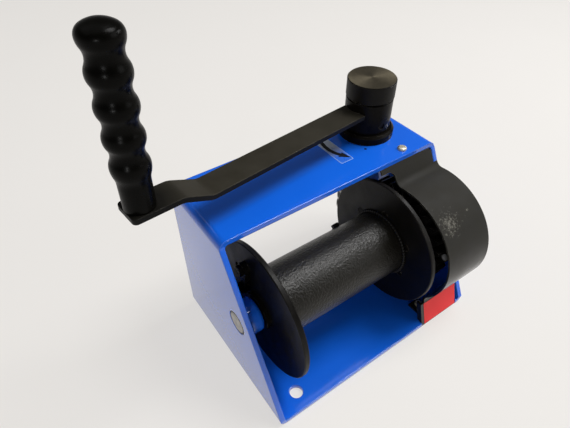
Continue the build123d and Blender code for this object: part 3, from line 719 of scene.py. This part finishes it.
# Black-oxided steel with a top faced on a lathe: black sides, and bare circles that fan the light out.
# The real tool marks are about 0.2 mm apart and are drawn at 1.3 mm so that they show. The wave
# length is the distance between rings at a scale of 1.
faced_oxide, tree, skin, place = new_finish("black_oxide_faced_bright")
centred = add(
    tree, "ShaderNodeMapping", {"Vector": place, "Location": (-hub_axis[0], -hub_axis[1], 0.0)},
)
circles = add(
    tree, "ShaderNodeTexWave",
    {"Vector": centred.outputs[0], "Scale": wave_length / turning_pitch, "Distortion": 0.6, "Detail": 1.0},
    wave_type="RINGS", rings_direction="Z",
)
oil = add(tree, "ShaderNodeTexNoise", {"Vector": place, "Scale": 1 / (8 * mm), "Detail": 4.0})
face = add(tree, "ShaderNodeNewGeometry", {})
facing = add(tree, "ShaderNodeSeparateXYZ", {0: face.outputs["True Normal"]})
top = add(tree, "ShaderNodeMapRange", {0: facing.outputs[2], 1: 0.85, 2: 0.97, 3: 0.0, 4: 1.0})
side_tone = add(
    tree, "ShaderNodeMix",
    {0: oil.outputs[0], 6: linear("#070605"), 7: linear("#17140F")}, data_type="RGBA",
)
top_tone = add(
    tree, "ShaderNodeMix",
    {0: oil.outputs[0], 6: linear("#5F594A"), 7: linear("#857C68")}, data_type="RGBA",
)
cap_tone = add(
    tree, "ShaderNodeMix",
    {0: top.outputs[0], 6: side_tone.outputs[2], 7: top_tone.outputs[2]}, data_type="RGBA",
)
rubbed_and_highlit = rubbed_and_highlit_edges(tree, place, 0.8, 7)
worn_cap = add(
    tree, "ShaderNodeMix",
    {0: rubbed_and_highlit, 6: cap_tone.outputs[2], 7: linear("#8F897D")}, data_type="RGBA",
)
cap_gloss = add(tree, "ShaderNodeMapRange", {0: circles.outputs[1], 1: 0.2, 2: 0.9, 3: 0.38, 4: 0.48})
cap_bump = add(tree, "ShaderNodeBump", {"Height": circles.outputs[1], "Strength": 0.12, "Distance": 0.1 * mm})
round_axis = add(tree, "ShaderNodeTangent", {}, direction_type="RADIAL", axis="Z")
plug(tree, skin, {
    "Base Color": worn_cap.outputs[2],
    "Metallic": top.outputs[0],
    "Roughness": cap_gloss.outputs[0],
    "Normal": cap_bump.outputs[0],
    "Tangent": round_axis.outputs[0],
    "Anisotropic": 0.45,
    "Specular IOR Level": 0.12,
})
dress(faced_oxide, "hub_cap")
dress(oxide, "crank_sleeve", "hub_pin")


# Crank arm: a flat steel bar, joggled up at its outer end and clamped under the cap.
# It is painted matt black, and its edges are lighter, partly rubbed by handling and partly a painted
# highlight.
arm_edge = 0.6 * mm
grip_foot = (-168.2 * mm, 25.6 * mm, 215.7 * mm)
# The end of the arm within these distances of the grip's foot is painted darker as painted shade.
shaded_end_radius = 16 * mm
unshaded_radius = 38 * mm

# Matt black paint, brushed on flat bar: a soft olive black that hardly shines, with faint clouds on top.
# The top is painted lighter than the sides as painted light, and the sides and the end by the grip are
# painted a deeper black as painted shade. Edges are lighter grey, partly rubbed and partly a painted
# highlight. The brush marks are finer and are drawn at 2.4 mm so that they show.
matt_black, tree, skin, place = new_finish("matt_black_paint_brushed")
cloudy = add(tree, "ShaderNodeTexNoise", {"Vector": place, "Scale": 1 / (14 * mm), "Detail": 5.0})
matt_tone = add(
    tree, "ShaderNodeMix",
    {0: cloudy.outputs[0], 6: linear("#2A2720"), 7: linear("#36332B")}, data_type="RGBA",
)
face = add(tree, "ShaderNodeNewGeometry", {})
facing = add(tree, "ShaderNodeSeparateXYZ", {0: face.outputs["True Normal"]})
# The top is painted lighter than the sides: painted light.
lit_top = add(tree, "ShaderNodeMapRange", {0: facing.outputs[2], 1: 0.3, 2: 0.8, 3: 0.0, 4: 1.0})
# The end by the grip is painted darker: painted shade.
from_grip = add(tree, "ShaderNodeVectorMath", {0: place, 1: grip_foot}, operation="DISTANCE")
unshaded = add(
    tree, "ShaderNodeMapRange",
    {0: from_grip.outputs["Value"], 1: shaded_end_radius, 2: unshaded_radius, 3: 0.1, 4: 1.0},
)
lit_and_unshaded = add(
    tree, "ShaderNodeMath",
    {0: lit_top.outputs[0], 1: unshaded.outputs[0]}, operation="MULTIPLY",
)
bar_tone = add(
    tree, "ShaderNodeMix",
    {0: lit_and_unshaded.outputs[0], 6: linear("#0C0B09"), 7: matt_tone.outputs[2]}, data_type="RGBA",
)
rubbed_and_highlit = rubbed_and_highlit_edges(tree, place, 1.0, 10)
# Grey edges: partly rubbed paint, partly a painted highlight.
worn_and_highlit_matt = add(
    tree, "ShaderNodeMix",
    {0: rubbed_and_highlit, 6: bar_tone.outputs[2], 7: linear("#A09B8E")}, data_type="RGBA",
)
matt_gloss = add(tree, "ShaderNodeMapRange", {0: cloudy.outputs[0], 1: 0.3, 2: 0.7, 3: 0.4, 4: 0.55})
strokes = add(tree, "ShaderNodeTexNoise", {"Vector": place, "Scale": 1 / (2.4 * mm), "Detail": 3.0})
matt_bump = add(
    tree, "ShaderNodeBump",
    {"Height": strokes.outputs[0], "Strength": 0.15, "Distance": 0.2 * mm},
)
plug(tree, skin, {
    "Base Color": worn_and_highlit_matt.outputs[2],
    "Roughness": matt_gloss.outputs[0],
    "Normal": matt_bump.outputs[0],
    "Specular IOR Level": 0.12,
})
dress(matt_black, "crank_arm")
ease_edges("crank_arm", arm_edge)


# Grip: a black moulded handle with five swellings, turning loosely on a steel spindle.
# The spindle is riveted in the arm, and a spring ring keeps the grip on it.

# Moulded black plastic: a smooth near-black with small soft highlights and a faint skin of handling.
# The grain of its mould is finer than 0.5 mm and is drawn at 1.4 mm so that it shows.
plastic, tree, skin, place = new_finish("black_plastic_moulded")
touch = add(tree, "ShaderNodeTexNoise", {"Vector": place, "Scale": 1 / (10 * mm), "Detail": 5.0})
plastic_tone = add(
    tree, "ShaderNodeMix",
    {0: touch.outputs[0], 6: linear("#040403"), 7: linear("#080705")}, data_type="RGBA",
)
plastic_gloss = add(tree, "ShaderNodeMapRange", {0: touch.outputs[0], 1: 0.3, 2: 0.7, 3: 0.24, 4: 0.32})
skin_grain = add(tree, "ShaderNodeTexNoise", {"Vector": place, "Scale": 1 / (1.4 * mm), "Detail": 2.0})
plastic_bump = add(
    tree, "ShaderNodeBump",
    {"Height": skin_grain.outputs[0], "Strength": 0.1, "Distance": 0.1 * mm},
)
plug(tree, skin, {
    "Base Color": plastic_tone.outputs[2],
    "Roughness": plastic_gloss.outputs[0],
    "Normal": plastic_bump.outputs[0],
    "IOR": 1.49,
    "Specular IOR Level": 0.06,
})
dress(plastic, "grip")
dress(turned_steel, "grip_spindle", "grip_ring")


# Red panel: a plain red vinyl sticker that covers the guard's lower tab.
# It lies flat on the tab, from near its foot up to the bend, and leaves a bare strip at the left.
tab_foot = (-87.25 * mm, 1.0 * mm)
tab_lean = math.radians(17.4)
panel_x = (66.3 * mm, 115.3 * mm)
panel_low = 0.8 * mm
panel_height = 28.2 * mm
panel_rounding = 1.0 * mm
panel_thickness = 0.25 * mm
film_gap = 0.02 * mm


def on_tab(x, up, out):
    """A point on the guard's lower tab: across, up the tab and out of it."""
    return (
        x,
        tab_foot[0] + math.sin(tab_lean) * up - math.cos(tab_lean) * out,
        tab_foot[1] + math.cos(tab_lean) * up + math.sin(tab_lean) * out,
    )


def flat_sheet(outline, under, over, put):
    """A thin sheet over an outline, between two heights, its points placed by put(across, up, out)."""
    shape = bmesh.new()
    low = [shape.verts.new(put(x, y, under)) for x, y in outline]
    high = [shape.verts.new(put(x, y, over)) for x, y in outline]
    shape.faces.new(low)
    shape.faces.new(high)
    for i in range(len(outline)):
        j = (i + 1) % len(outline)
        shape.faces.new((low[i], low[j], high[j], high[i]))
    return shape


def rounded_sheet(width, height, corner, thickness, put):
    """A thin sheet with rounded corners, just clear of what it is stuck to."""
    outline = []
    for centre_x, centre_y, start in (
        (width - corner, height - corner, 0), (corner, height - corner, 90),
        (corner, corner, 180), (width - corner, corner, 270),
    ):
        for step in range(7):
            turn = math.radians(start + 15 * step)
            outline.append((centre_x + corner * math.cos(turn), centre_y + corner * math.sin(turn)))
    return flat_sheet(outline, film_gap, thickness, put)


# Red vinyl, printed film: a bright, even red with a slight gloss and small creases.
vinyl, tree, skin, place = new_finish("red_vinyl_film")
fade = add(tree, "ShaderNodeTexNoise", {"Vector": place, "Scale": 1 / (15 * mm), "Detail": 4.0})
red = add(
    tree, "ShaderNodeMix",
    {0: fade.outputs[0], 6: linear("#F22A2E"), 7: linear("#FC3A3E")}, data_type="RGBA",
)
film_gloss = add(tree, "ShaderNodeMapRange", {0: fade.outputs[0], 1: 0.3, 2: 0.7, 3: 0.3, 4: 0.45})
creases = add(tree, "ShaderNodeBump", {"Height": fade.outputs[0], "Strength": 0.15, "Distance": 0.4 * mm})
plug(tree, skin, {
    "Base Color": red.outputs[2],
    "Roughness": film_gloss.outputs[0],
    "Normal": creases.outputs[0],
    "Specular IOR Level": 0.2,
})
panel = rounded_sheet(
    panel_x[1] - panel_x[0], panel_height, panel_rounding, panel_thickness,
    lambda across, up, out: on_tab(panel_x[0] + across, panel_low + up, out),
)
new_piece("red_panel", panel, vinyl, "frame")


# Turning mark: a small clear sticker on the top plate with a pale rim and a black bent arrow.
# The arrow is printed and shows which way to turn, and the rear end of the film is painted a pale blue-grey
# as a painted reflection.
mark_corner = (22.8 * mm, 22.5 * mm)
mark_size = (15 * mm, 43.5 * mm)
mark_rounding = 1.0 * mm
mark_thickness = 0.12 * mm
mark_rim = 0.7 * mm
# Where the painted reflection on the film begins and where it is full.
reflection_from = 33 * mm
reflection_full = 50 * mm
ink_heights = (0.1 * mm, 0.18 * mm)
# The arrow's sizes are in mm.
arrow_line = ((28.8, 62.0), (27.2, 54.0), (27.0, 46.5), (28.4, 40.0), (31.0, 34.8))
arrow_tip = (36.8, 25.6)
arrow_half_width = 2.1
arrow_head_half_width = 4.3


def on_top(x, y, up):
    """A point above the top plate."""
    return (x, y, frame_top + up)


# Clear polyester film, printed: the blue below shows through, turning to a painted reflection in blue-grey
# towards its rear.
# A pale rim runs along its edges, and a soft gloss with a few creases lies over it.
film, tree, skin, place = new_finish("clear_polyester_film_printed")
scuff = add(tree, "ShaderNodeTexNoise", {"Vector": place, "Scale": 1 / (7 * mm), "Detail": 5.0})
parts = add(tree, "ShaderNodeSeparateXYZ", {0: place})
# Paler blue-grey towards the rear: a painted reflection.
reflection_share = add(tree, "ShaderNodeMapRange", {0: parts.outputs[1], 1: reflection_from, 2: reflection_full, 3: 0.0, 4: 1.0})
reflection_tone = add(
    tree, "ShaderNodeMix",
    {0: scuff.outputs[0], 6: linear("#8F9CB6"), 7: linear("#C3CBD8")}, data_type="RGBA",
)
film_tone = add(
    tree, "ShaderNodeMix",
    {0: reflection_share.outputs[0], 6: linear("#2C6CDC"), 7: reflection_tone.outputs[2]}, data_type="RGBA",
)
aside = add(
    tree, "ShaderNodeMath",
    {0: parts.outputs[0], 1: mark_corner[0] + mark_size[0] / 2}, operation="SUBTRACT",
)
apart = add(tree, "ShaderNodeMath", {0: aside.outputs[0]}, operation="ABSOLUTE")
long_rims = add(
    tree, "ShaderNodeMath",
    {0: apart.outputs[0], 1: mark_size[0] / 2 - mark_rim}, operation="GREATER_THAN",
)
front_rim = add(
    tree, "ShaderNodeMath",
    {0: parts.outputs[1], 1: mark_corner[1] + mark_rim}, operation="LESS_THAN",
)
rim = add(
    tree, "ShaderNodeMath",
    {0: long_rims.outputs[0], 1: front_rim.outputs[0]}, operation="MAXIMUM",
)
rimmed_film = add(
    tree, "ShaderNodeMix",
    {0: rim.outputs[0], 6: film_tone.outputs[2], 7: linear("#8FB0EA")}, data_type="RGBA",
)
film_shine = add(tree, "ShaderNodeMapRange", {0: scuff.outputs[0], 1: 0.3, 2: 0.7, 3: 0.25, 4: 0.4})
film_bump = add(tree, "ShaderNodeBump", {"Height": scuff.outputs[0], "Strength": 0.1, "Distance": 0.2 * mm})
plug(tree, skin, {
    "Base Color": rimmed_film.outputs[2],
    "Roughness": film_shine.outputs[0],
    "Normal": film_bump.outputs[0],
})
mark = rounded_sheet(
    mark_size[0], mark_size[1], mark_rounding, mark_thickness,
    lambda across, up, out: on_top(mark_corner[0] + across, mark_corner[1] + up, out),
)
new_piece("turning_mark", mark, film, "frame")

# Black printing ink on the film: a flat black with a faint gloss and pinholes where the ink is thin.
# Real pinholes are finer than 0.5 mm and are drawn at 2.5 mm so that they show.
ink, tree, skin, place = new_finish("black_ink_printed")
pinholes = add(tree, "ShaderNodeTexNoise", {"Vector": place, "Scale": 1 / (2.5 * mm), "Detail": 3.0})
ink_tone = add(
    tree, "ShaderNodeMix",
    {0: pinholes.outputs[0], 6: linear("#0B0B0C"), 7: linear("#242427")}, data_type="RGBA",
)
ink_bump = add(
    tree, "ShaderNodeBump",
    {"Height": pinholes.outputs[0], "Strength": 0.05, "Distance": 0.1 * mm},
)
plug(tree, skin, {
    "Base Color": ink_tone.outputs[2],
    "Roughness": 0.45,
    "Normal": ink_bump.outputs[0],
    "Specular IOR Level": 0.2,
})
left, right = [], []
for k, point in enumerate(arrow_line):
    before = Vector(arrow_line[max(k - 1, 0)])
    after = Vector(arrow_line[min(k + 1, len(arrow_line) - 1)])
    along = (after - before).normalized()
    across = Vector((-along.y, along.x))
    left.append(Vector(point) + across * arrow_half_width)
    right.append(Vector(point) - across * arrow_half_width)
neck = Vector(arrow_line[-1])
head = [neck + across * arrow_head_half_width, Vector(arrow_tip), neck - across * arrow_head_half_width]
arrow = flat_sheet([p * mm for p in left + head + right[::-1]], ink_heights[0], ink_heights[1], on_top)
new_piece("turning_arrow", arrow, ink, "frame")


# Floor: a plain pale sheet that the winch stands on, which isn't part of it.
# It lies flat and fills the view, and it is large enough to reach near the horizon from low angles.
floor_half = 14.0
glow_part = 0.72

# Pale matt sheet: a warm white with hardly any gloss and a faint slow change of tone.
pale_sheet, tree, skin, place = new_finish("pale_matt_sheet")
unrest = add(tree, "ShaderNodeTexNoise", {"Vector": place, "Scale": 1 / (120 * mm), "Detail": 3.0})
white = add(
    tree, "ShaderNodeMix",
    {0: unrest.outputs[0], 6: linear("#E2DFDB"), 7: linear("#E8E5E1")}, data_type="RGBA",
)
plug(tree, skin, {"Base Color": white.outputs[2], "Roughness": 0.8, "Specular IOR Level": 0.2})

# Most of what the eye sees of the sheet is an even glow, which keeps the background pale and the shadow soft.
path = add(tree, "ShaderNodeLightPath", {})
looked_at = add(
    tree, "ShaderNodeMath",
    {0: path.outputs["Is Camera Ray"], 1: path.outputs["Is Glossy Ray"]}, operation="MAXIMUM",
)
looked_through = add(
    tree, "ShaderNodeMath",
    {0: looked_at.outputs[0], 1: path.outputs["Is Transmission Ray"]}, operation="MAXIMUM",
)
glow_share = add(tree, "ShaderNodeMath", {0: looked_through.outputs[0], 1: glow_part}, operation="MULTIPLY")
glow = add(tree, "ShaderNodeEmission", {"Color": linear("#F1EEEA"), "Strength": 1.0})
sheet = add(
    tree, "ShaderNodeMixShader",
    {0: glow_share.outputs[0], 1: skin.outputs[0], 2: glow.outputs[0]},
)
plug(tree, tree.nodes["Material Output"], {"Surface": sheet.outputs[0]})
shape = bmesh.new()
corners = ((-1, -1), (1, -1), (1, 1), (-1, 1))
shape.faces.new([shape.verts.new((x * floor_half, y * floor_half, 0.0)) for x, y in corners])
mesh = bpy.data.meshes.new("floor")
shape.to_mesh(mesh)
shape.free()
mesh.materials.append(pale_sheet)
floor = bpy.data.objects.new("floor", mesh)
bpy.context.scene.collection.objects.link(floor)


# Studio light: a wide pale ceiling, a soft key lamp high at the right, a broad lamp at the front right,
# and two small low lamps that put spots on round black things. The room is pale near the floor and dim
# above. Each lamp has its place and size in metres and its power in watts.
lamp_target = Vector((0.0, 0.0, 0.2))
room_low = 0.42
room_high = 0.09
room_bend = 0.35
for name, spot, size, power in (
    ("lamp_ceiling", (-0.75, 0.5, 2.6), 2.6, 10.0),
    ("lamp_key", (0.78, -0.15, 1.78), 0.75, 25.0),
    ("lamp_front_right", (1.65, -1.46, 1.2), 1.2, 10.0),
    ("lamp_front_left", (-0.95, -1.05, 0.55), 0.2, 3.0),
    ("lamp_right", (1.35, -0.15, 0.88), 0.2, 5.0),
):
    lamp = bpy.data.lights.new(name, "AREA")
    lamp.shape = "SQUARE"
    lamp.size = size
    lamp.energy = power
    hung = bpy.data.objects.new(name, lamp)
    hung.location = spot
    hung.rotation_euler = (lamp_target - Vector(spot)).to_track_quat("-Z", "Y").to_euler()
    hung.visible_camera = False
    bpy.context.scene.collection.objects.link(hung)

room = bpy.data.worlds.new("room")
room.use_nodes = True
bpy.context.scene.world = room
tree = room.node_tree
look = add(tree, "ShaderNodeTexCoord", {})
parts = add(tree, "ShaderNodeSeparateXYZ", {0: look.outputs["Generated"]})
rise = add(
    tree, "ShaderNodeMapRange",
    {0: parts.outputs[2], 1: 0.0, 2: room_bend, 3: room_low, 4: room_high},
)
plug(tree, tree.nodes["Background"], {"Color": linear("#FFFEFC"), "Strength": rise.outputs[0]})


# Camera: held above the front left corner, looking down at the drum.
# Its place, turn and lens were solved from the winch's own edges and circles. The lens is in mm.
eye_place = (-227.36 * mm, -238.80 * mm, 441.74 * mm)
eye_tilt = math.radians(46.81)
eye_turn = math.radians(-35.19)
eye_sensor = 36.0
eye_lens = 29.72
eye = bpy.data.cameras.new("photo_camera")
eye.sensor_width = eye_sensor
eye.lens = eye_lens
viewer = bpy.data.objects.new("photo_camera", eye)
viewer.location = eye_place
viewer.rotation_euler = (eye_tilt, 0.0, eye_turn)
bpy.context.scene.collection.objects.link(viewer)
bpy.context.scene.camera = viewer
bpy.context.scene.view_settings.view_transform = "Standard"
